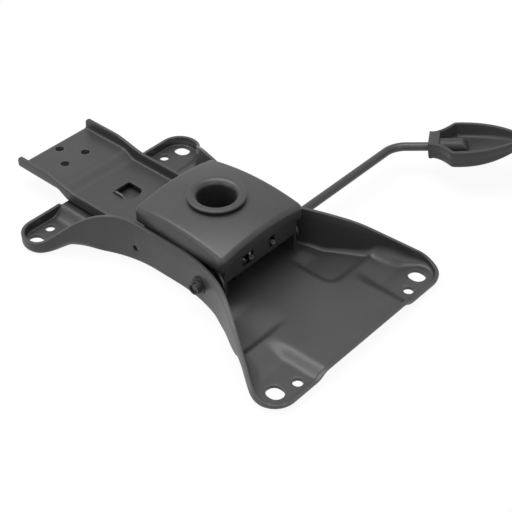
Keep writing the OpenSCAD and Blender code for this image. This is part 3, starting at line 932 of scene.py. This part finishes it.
TIP_R = 13.4
TIP_LOW = 24.4
LAND_R = 14.1
LAND_LOW = 39.0
LAND_MIDDLE = 47.0
LAND_TOP = 54.0
TUBE_R = 16.5
TUBE_MIDDLE = 40.0
TUBE_FOOT = 24.5
TUBE_LOW = 24.05
TUBE_EASE = 0.4
FLARE_R = 4.8
FLARE = (LAND_R + FLARE_R, 55.0)
COLLAR_CROWN = ((19.4, 59.78), (20.5, 59.62))
COLLAR_LIP = (20.7, 58.4)
COLLAR_LIP_R = 1.25
COLLAR_UNDER = ((20.4, 57.15), (TUBE_R, 57.12))
BORE_LIMIT_R = 14.3
LATHE_SIDES = 144


def degree_arc(centre, r, a0, a1, steps):
    return arc(centre, r, math.radians(a0), math.radians(a1), steps) + [polar(centre, r, math.radians(a1))]


def socket_profile():
    """Radius and height, up the bore, over the collar and down the tube."""
    profile = [(TIP_R, TIP_LOW), (LAND_R, LAND_LOW), (LAND_R, LAND_MIDDLE), (LAND_R, LAND_TOP)]
    profile += degree_arc(FLARE, FLARE_R, 180.0, 95.0, 12)
    profile += COLLAR_CROWN
    profile += degree_arc(COLLAR_LIP, COLLAR_LIP_R, 85.0, -70.0, 9)
    profile += COLLAR_UNDER
    profile += [(TUBE_R, TUBE_MIDDLE), (TUBE_R, TUBE_FOOT)]
    profile += [(TUBE_R - TUBE_EASE, TUBE_LOW), (TIP_R + TUBE_EASE, TUBE_LOW)]
    return profile


def build_socket():
    rings = []
    for r, h in socket_profile():
        circle = [polar((0.0, 0.0), r, TURN * i / LATHE_SIDES) for i in range(LATHE_SIDES)]
        rings.append([place(p.x, p.y, h) for p in circle])
    bm = bmesh.new()
    strips(bm, rings + rings[:1], True)
    join_points(bm)
    outward(bm)
    obj = add_object("socket_tube", bm)
    finish_piece(obj, powder, "housing", "gas_spring_socket")
    # Painted shade: faces inside the bore take the darker second coat.
    obj.data.materials.append(bore_painted_shade)
    for face in obj.data.polygons:
        if math.hypot(face.center.x, face.center.y) < BORE_LIMIT_R * MM:
            face.material_index = 1


# Lever: the bent rod, in a plane that rises from the pivot

ROD_R = 3.5
ROD_NEAR = -53.0
ROD_REACH = 167.0
ROD_BEND = math.radians(58.5)
ROD_BEND_R = 18.0
ROD_SIDES = 40
ROD_STRAIGHT_STEPS = 20
ROD_BEND_STEPS = 18
ROD_ARM_STEPS = 8
ROD_END_STEP = 1.0
LEVER_RISE = math.radians(8.5)
NECK_GAP = 18.3
SOCKET_DEPTH = 26.0
SOCKET_CLEAR = 0.5
BEND_CENTRE = Vector((ROD_BEND_R, ROD_REACH))
BEND_END = BEND_CENTRE + ROD_BEND_R * Vector((-math.cos(ROD_BEND), math.sin(ROD_BEND)))
PADDLE_DIR = Vector((math.sin(ROD_BEND), math.cos(ROD_BEND)))
NECK = BEND_END + PADDLE_DIR * NECK_GAP


def on_lever(x, y, w):
    """A point of the lever's rising plane, from the rod's axis: forward, along the rod, and up."""
    return place(PIVOT[0] + x * math.cos(LEVER_RISE) - w * math.sin(LEVER_RISE), y,
                 PIVOT[1] + x * math.sin(LEVER_RISE) + w * math.cos(LEVER_RISE))


def on_paddle(u, v, w):
    """A point of the paddle: along it from the neck, across it, and up from the rod's axis."""
    x = NECK.x + u * PADDLE_DIR.x - v * PADDLE_DIR.y
    y = NECK.y + u * PADDLE_DIR.y + v * PADDLE_DIR.x
    return on_lever(x, y, w)


def build_rod():
    straight = [ROD_NEAR, ROD_NEAR + ROD_END_STEP]
    start = ROD_NEAR + 2.0 * ROD_END_STEP
    straight += [mix(start, ROD_REACH, i / ROD_STRAIGHT_STEPS) for i in range(ROD_STRAIGHT_STEPS)]
    route = [place(PIVOT[0], y, PIVOT[1]) for y in straight]
    for i in range(ROD_BEND_STEPS + 1):
        p = polar(BEND_CENTRE, ROD_BEND_R, math.pi - ROD_BEND * i / ROD_BEND_STEPS)
        route.append(on_lever(p.x, p.y, 0.0))
    for i in range(1, ROD_ARM_STEPS + 1):
        route.append(on_paddle(mix(-NECK_GAP, SOCKET_DEPTH - SOCKET_CLEAR, i / ROD_ARM_STEPS), 0.0, 0.0))
    bm = bmesh.new()
    tube(bm, route, ROD_R * MM, ROD_SIDES, Vector((0.0, 0.0, 1.0)))
    obj = add_object("bent_rod", bm)
    finish_piece(obj, lever_coat, "lever", "lever_rod")


# Lever: the moulded paddle

PADDLE_LEN = 78.0
PADDLE_HALF = 25.0
PADDLE_LOW = -5.5
PADDLE_TOP = 8.3
PADDLE_WALL = 2.6
PADDLE_STEP = 2.6
PADDLE_SHARP = math.radians(50.0)
NECK_HALF = 10.5
FLARE_X = 3.0
FLARE_POWER = 1.6
FLARE_STEPS = 22
SHOULDER_X = 19.0
SHOULDER_PASSES = 2
TIP_POWER = 2.5
TIP_STEPS = 40
TIP_CROWDING = 1.7
NECK_STEPS = 10
RECESS_X = 5.5
KEEL_X = 28.0
KEEL_RISE = 8.0
GROOVE_H = 1.5
GROOVE_OVER_KEEL = 3.0

# Sections of the paddle, as inset and height: over the keel, from the groove, or under the top
FOOT_ROUND = ((3.2, 0.0), (1.4, 0.25), (0.5, 1.0), (0.1, 2.4))
GROOVE = ((0.05, -0.25), (0.32, 0.0), (0.05, 0.25))
RIM_ROUND = ((0.0, 2.0), (0.0, 0.9), (0.25, 0.25), (0.8, 0.0))
MOUTH_ROUND = ((0.0, 0.0), (0.35, 0.2), (0.5, 0.8))
RECESS_ROUND = ((0.9, 2.6), (1.4, 1.1), (2.4, 0.3), (3.6, 0.0))


def paddle_half_width(u):
    if u < FLARE_X:
        return NECK_HALF
    if u < SHOULDER_X:
        flare = (u - FLARE_X) / (SHOULDER_X - FLARE_X)
        return mix(NECK_HALF, PADDLE_HALF, flare ** FLARE_POWER)
    s = min((u - SHOULDER_X) / (PADDLE_LEN - SHOULDER_X), 1.0)
    return PADDLE_HALF * (1.0 - s ** TIP_POWER)


def keel(u):
    """Height of the paddle's underside, which rises to the tip."""
    return PADDLE_LOW + KEEL_RISE * clamp((u - KEEL_X) / (PADDLE_LEN - KEEL_X)) ** 2


def paddle_side(start):
    """Half of the paddle's outline, with its shoulder a little rounded."""
    us = [mix(start, SHOULDER_X, i / FLARE_STEPS) for i in range(FLARE_STEPS + 1)]
    for i in range(1, TIP_STEPS):
        us.append(mix(SHOULDER_X, PADDLE_LEN, 1.0 - (1.0 - i / TIP_STEPS) ** TIP_CROWDING))
    side = [Vector((u, paddle_half_width(u))) for u in us]
    for _ in range(SHOULDER_PASSES):
        between = [a * 0.25 + b * 0.5 + c * 0.25 for a, b, c in zip(side, side[1:], side[2:])]
        side = [side[0]] + between + [side[-1]]
    return side


def paddle_loop(start, inset):
    """The paddle's outline from one neck corner round the tip to the other, drawn in by an inset."""
    side = paddle_side(start)
    loop = side + [Vector((PADDLE_LEN, 0.0))] + [Vector((p.x, -p.y)) for p in reversed(side)]
    loop += [Vector((start, mix(-side[0].y, side[0].y, i / NECK_STEPS))) for i in range(1, NECK_STEPS)]
    count = len(loop)
    drawn = []
    for i in range(count):
        t = (loop[(i + 1) % count] - loop[i - 1]).normalized()
        drawn.append(loop[i] + Vector((t.y, -t.x)) * inset)
    return drawn


def paddle_ring(start, inset, height):
    return [on_paddle(p.x, p.y, height(p.x)) for p in paddle_loop(start, inset)]


def paddle_face(bm, start, inset, height, holes=()):
    border = [tuple(p) for p in paddle_loop(start, inset)]
    fill(bm, border, list(holes), lambda u, v: height(u), PADDLE_STEP, on_paddle)


def build_paddle():
    """The paddle's outside from keel to rim, its recess, and the boss that holds the rod."""
    def rim(u):
        return PADDLE_TOP

    def recess(u):
        return keel(u) + PADDLE_WALL

    outer = []
    for inset, level in FOOT_ROUND:
        outer.append(paddle_ring(0.0, inset, lambda u: keel(u) + level))
    for inset, level in GROOVE:
        outer.append(paddle_ring(0.0, inset, lambda u: max(GROOVE_H, keel(u) + GROOVE_OVER_KEEL) + level))
    for inset, drop in RIM_ROUND:
        outer.append(paddle_ring(0.0, inset, lambda u: PADDLE_TOP - drop))
    well = []
    for inset, drop in MOUTH_ROUND:
        well.append(paddle_ring(RECESS_X, PADDLE_WALL + inset, lambda u: PADDLE_TOP - drop))
    for inset, level in RECESS_ROUND:
        well.append(paddle_ring(RECESS_X, PADDLE_WALL + inset, lambda u: recess(u) + level))
    bm = bmesh.new()
    strips(bm, outer, True)
    paddle_face(bm, 0.0, FOOT_ROUND[0][0], keel)
    mouth = [tuple(p) for p in paddle_loop(RECESS_X, PADDLE_WALL)]
    paddle_face(bm, 0.0, RIM_ROUND[-1][0], rim, [mouth])
    strips(bm, well, True)
    paddle_face(bm, RECESS_X, PADDLE_WALL + RECESS_ROUND[-1][0], recess)
    join_points(bm)
    outward(bm)
    add_boss(bm)
    obj = add_object("paddle_grip", bm)
    finish_piece(obj, plastic, "lever", "lever_paddle", PADDLE_SHARP)


BOSS_R = 6.55
BOSS_FOOT = PADDLE_LOW + 1.5
BOSS_STATIONS = (4.5, 15.0, 24.0, 26.2, 26.8, 27.4, 28.2, 29.2, 30.2, 30.9)
BOSS_STEPS = 20
SLANT_X = 26.0
SLANT_H = 7.4
SLANT_FALL = 1.42
SLANT_SOFT = 0.35


def add_boss(bm):
    """The half-round housing of the rod's end, cut off at a slant."""
    rings = []
    for u in BOSS_STATIONS:
        top = min(BOSS_R, SLANT_H - SLANT_FALL * (u - SLANT_X))
        ring = []
        for i in range(BOSS_STEPS + 1):
            p = polar((0.0, 0.0), BOSS_R, math.pi * i / BOSS_STEPS)
            ring.append(on_paddle(u, p.x, soft_ceiling(p.y, top, SLANT_SOFT)))
        ring += [on_paddle(u, side * BOSS_R, BOSS_FOOT) for side in (-1, 1)]
        rings.append(ring)
    shell = set()
    for ring in capped(bm, rings):
        for vert in ring:
            shell.update(vert.link_faces)
    bmesh.ops.recalc_face_normals(bm, faces=list(shell))


# Torsion springs

WIRE_D = 4.5
WIRE_SIDES = 18
COIL_R = 9.75
COIL_TURNS = 2.25
COIL_INNER = 11.5
COIL_GAP = 0.65
COIL_PITCH = WIRE_D + COIL_GAP
COIL_OUTER = COIL_INNER + COIL_PITCH * COIL_TURNS
TURN_STEPS = 40
FRONT_LEG_X = 40.4
FRONT_LEG_STEPS = 6
HOOK_R = 3.5
HOOK_TURN = math.radians(66.0)
HOOK_STEPS = 8
REAR_LEG_X = 2.0
REAR_LEG_CLEAR = 0.35
REAR_LEG_H = FLOOR_TOP + REAR_LEG_CLEAR + WIRE_D / 2
REAR_LEG_STEPS = 4
LEG_BEND_R = 6.0
LEG_BEND_STEPS = 9


def spring_route():
    """Points of the wire as x, distance from the middle and height: hook, front leg, coil and rear leg."""
    top = PIVOT[1] + COIL_R
    route = []
    for i in range(HOOK_STEPS, -1, -1):
        a = HOOK_TURN * i / HOOK_STEPS
        route.append((FRONT_LEG_X + HOOK_R * math.sin(a), COIL_INNER, top + HOOK_R * (1 - math.cos(a))))
    for i in range(1, FRONT_LEG_STEPS):
        route.append((mix(FRONT_LEG_X, PIVOT[0], i / FRONT_LEG_STEPS), COIL_INNER, top))
    for i in range(int(TURN_STEPS * COIL_TURNS) + 1):
        p = polar(PIVOT, COIL_R, QUARTER + TURN * i / TURN_STEPS)
        route.append((p.x, COIL_INNER + COIL_PITCH * i / TURN_STEPS, p.y))
    bend = (PIVOT[0] - COIL_R - LEG_BEND_R, REAR_LEG_H + LEG_BEND_R)
    for i in range(LEG_BEND_STEPS + 1):
        p = polar(bend, LEG_BEND_R, -QUARTER * i / LEG_BEND_STEPS)
        route.append((p.x, COIL_OUTER, p.y))
    for i in range(1, REAR_LEG_STEPS + 1):
        route.append((mix(bend[0], REAR_LEG_X, i / REAR_LEG_STEPS), COIL_OUTER, REAR_LEG_H))
    return route


def build_spring(side, name, node):
    """A spring whose front leg bears on the housing and whose rear leg bears on the seat; the wire is one
    rigid piece on no body.
    """
    bm = bmesh.new()
    route = [place(x, side * y, h) for x, y, h in spring_route()]
    tube(bm, route, WIRE_D / 2 * MM, WIRE_SIDES, Vector((0.0, 1.0, 0.0)))
    obj = add_object(name, bm)
    finish_piece(obj, spring_wire, None, node)
    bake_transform(obj)


# Weld beads along the channel's feet

BEAD_X = -78.0
BEAD_LEN = 22.0
BEAD_SIZE = 2.8
BEAD_STEPS = 88
BEAD_SECTION_STEPS = 6
BEAD_ROOT = CHANNEL_HALF - 0.1
BEAD_BULGE = 0.14
RIPPLE = 0.1
RIPPLE_STEPS = 5.5
BEAD_END_POWER = 12
BEAD_END_LEAST = 0.25


def bead_size(i):
    """Leg of the bead at a station: rippled along its length and drawn in at its ends."""
    ripple = 1.0 - RIPPLE + RIPPLE * math.sin(TURN * i / RIPPLE_STEPS)
    along = 2.0 * i / BEAD_STEPS - 1.0
    ends = math.sqrt(max(0.0, 1.0 - along ** BEAD_END_POWER))
    return BEAD_SIZE * ripple * max(ends, BEAD_END_LEAST)


def build_welds():
    bm = bmesh.new()
    for side in (-1, 1):
        rings = []
        for i in range(BEAD_STEPS + 1):
            x = BEAD_X + BEAD_LEN * i / BEAD_STEPS
            size = bead_size(i)
            ring = []
            for k in range(BEAD_SECTION_STEPS + 1):
                a = QUARTER * k / BEAD_SECTION_STEPS
                bulge = 1.0 - BEAD_BULGE + BEAD_BULGE * math.sin(2 * a)
                p = polar((BEAD_ROOT, DECK_TOP), size * bulge, a)
                ring.append(place(x, side * p.x, p.y))
            ring.append(place(x, side * BEAD_ROOT, DECK_TOP))
            rings.append(ring)
        capped(bm, rings)
    outward(bm)
    obj = add_object("weld_beads", bm)
    finish_piece(obj, powder, "seat", "bracket_welds")


build_seat_plate()
build_back_bracket()
build_housing_cap()
build_socket()
build_rod()
build_paddle()
build_spring(-1, "spring_wire_near", "tilt_spring_near")
build_spring(1, "spring_wire_far", "tilt_spring_far")
build_welds()

# Solids that keep their shape get their finish
FINISHES = (
    (nylon, ("pivot_bush_near", "pivot_bush_far", "spring_sleeve_near", "spring_sleeve_far")),
    (rubber, ("tilt_stop_pads", "rest_stop_feet")),
    # Painted shade: the pivot bracket takes the darker coat.
    (bracket_painted_shade, ("pivot_bracket",)),
    (blackened, ("back_nuts", "pivot_stub_near", "pivot_stub_far")),
    (washer_steel, ("thrust_washer_near", "thrust_washer_far")),
    (zinc, ("lock_plate", "lock_pin", "release_tongue", "rod_clips")),
)
for finish, names in FINISHES:
    for name in names:
        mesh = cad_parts[name].data
        mesh.materials.clear()
        mesh.materials.append(finish)


# Studio, in metres: the camera at the photograph's place

AZIMUTH = math.radians(41.63)
ELEVATION = math.radians(39.85)
CAMERA_AT = Vector((0.5005, -0.5207, 0.5486))
SENSOR_MM = 36.0
LENS_MM = 89.12
CLIP = (0.01, 50.0)


def add_camera():
    right = Vector((math.cos(AZIMUTH), math.sin(AZIMUTH), 0.0))
    level = Vector((math.sin(AZIMUTH), -math.cos(AZIMUTH), 0.0))
    back = level * math.cos(ELEVATION) + Vector((0.0, 0.0, math.sin(ELEVATION)))
    data = bpy.data.cameras.new("photo_camera")
    data.sensor_fit = "HORIZONTAL"
    data.sensor_width = SENSOR_MM
    data.lens = LENS_MM
    data.clip_start, data.clip_end = CLIP
    camera = bpy.data.objects.new("photo_camera", data)
    scene.collection.objects.link(camera)
    axes = Matrix((right, back.cross(right), back)).transposed()
    camera.matrix_world = Matrix.Translation(CAMERA_AT) @ axes.to_4x4()
    scene.camera = camera


# Studio: pale floor, white world and soft lamps

WHITE = (1.0, 1.0, 1.0, 1.0)
FLOOR_HALF = 4.0
FLOOR_GAP = 0.0002
FLOOR_COLOUR = (0.93, 0.93, 0.93, 1.0)
FLOOR_WHITE = 0.93
SOFT_LIGHT = 0.26
BACKGROUND_RAYS = ("Is Camera Ray", "Is Glossy Ray", "Is Transmission Ray")

# Each lamp aims at the origin: name, place, side and power
LAMPS = (
    ("top_lamp", (-0.10, 0.05, 1.45), 0.9, 14.0),
    ("key_lamp", (-0.75, -0.28, 1.30), 0.5, 8.0),
    ("near_lamp", (-0.3, -1.2, 0.5), 0.8, 3.5),
    ("front_lamp", (1.0, -0.5, 0.7), 0.5, 2.0),
)


def white_to_eye(tree, share):
    """A factor that is the share for rays which show the background, and nothing for the light's own."""
    rays = tree.nodes.new("ShaderNodeLightPath")
    total = rays.outputs[BACKGROUND_RAYS[0]]
    for name in BACKGROUND_RAYS[1:]:
        add = tree.nodes.new("ShaderNodeMath")
        add.operation = "ADD"
        add.use_clamp = True
        tree.links.new(total, add.inputs[0])
        tree.links.new(rays.outputs[name], add.inputs[1])
        total = add.outputs[0]
    scale = tree.nodes.new("ShaderNodeMath")
    scale.operation = "MULTIPLY"
    scale.inputs[1].default_value = share
    tree.links.new(total, scale.inputs[0])
    return scale.outputs[0]


def two_faced(tree, share, to_light, to_eye, output):
    """Shows one shader to the light and, by a share, another to the eye."""
    choose = tree.nodes.new("ShaderNodeMixShader")
    tree.links.new(white_to_eye(tree, share), choose.inputs["Fac"])
    tree.links.new(to_light.outputs[0], choose.inputs[1])
    tree.links.new(to_eye.outputs[0], choose.inputs[2])
    tree.links.new(choose.outputs["Shader"], output.inputs["Surface"])


def add_floor():
    corners = [(x * FLOOR_HALF, y * FLOOR_HALF, 0.0) for x, y in ((-1, -1), (1, -1), (1, 1), (-1, 1))]
    mesh = bpy.data.meshes.new("studio_floor")
    mesh.from_pydata(corners, [], [(0, 1, 2, 3)])
    floor = bpy.data.objects.new("studio_floor", mesh)
    floor.location.z = -MOUTH_H * MM - FLOOR_GAP
    scene.collection.objects.link(floor)
    mat = bpy.data.materials.new("studio_floor")
    mat.use_nodes = True
    tree = mat.node_tree
    tree.nodes.clear()
    matt = tree.nodes.new("ShaderNodeBsdfDiffuse")
    matt.inputs["Color"].default_value = FLOOR_COLOUR
    glow = tree.nodes.new("ShaderNodeEmission")
    glow.inputs["Color"].default_value = WHITE
    two_faced(tree, FLOOR_WHITE, matt, glow, tree.nodes.new("ShaderNodeOutputMaterial"))
    mesh.materials.append(mat)


def add_world():
    world = bpy.data.worlds.new("studio")
    scene.world = world
    world.use_nodes = True
    tree = world.node_tree
    tree.nodes.clear()
    lights = []
    for strength in (SOFT_LIGHT, 1.0):
        light = tree.nodes.new("ShaderNodeBackground")
        light.inputs["Color"].default_value = WHITE
        light.inputs["Strength"].default_value = strength
        lights.append(light)
    two_faced(tree, 1.0, lights[0], lights[1], tree.nodes.new("ShaderNodeOutputWorld"))


def add_lamp(name, at, size, power):
    data = bpy.data.lights.new(name, "AREA")
    data.shape = "SQUARE"
    data.size = size
    data.energy = power
    obj = bpy.data.objects.new(name, data)
    obj.location = at
    obj.rotation_euler = (-Vector(at)).to_track_quat("-Z", "Y").to_euler()
    scene.collection.objects.link(obj)


add_camera()
add_floor()
add_world()
for lamp in LAMPS:
    add_lamp(*lamp)

bpy.context.scene.view_settings.view_transform = "Standard"
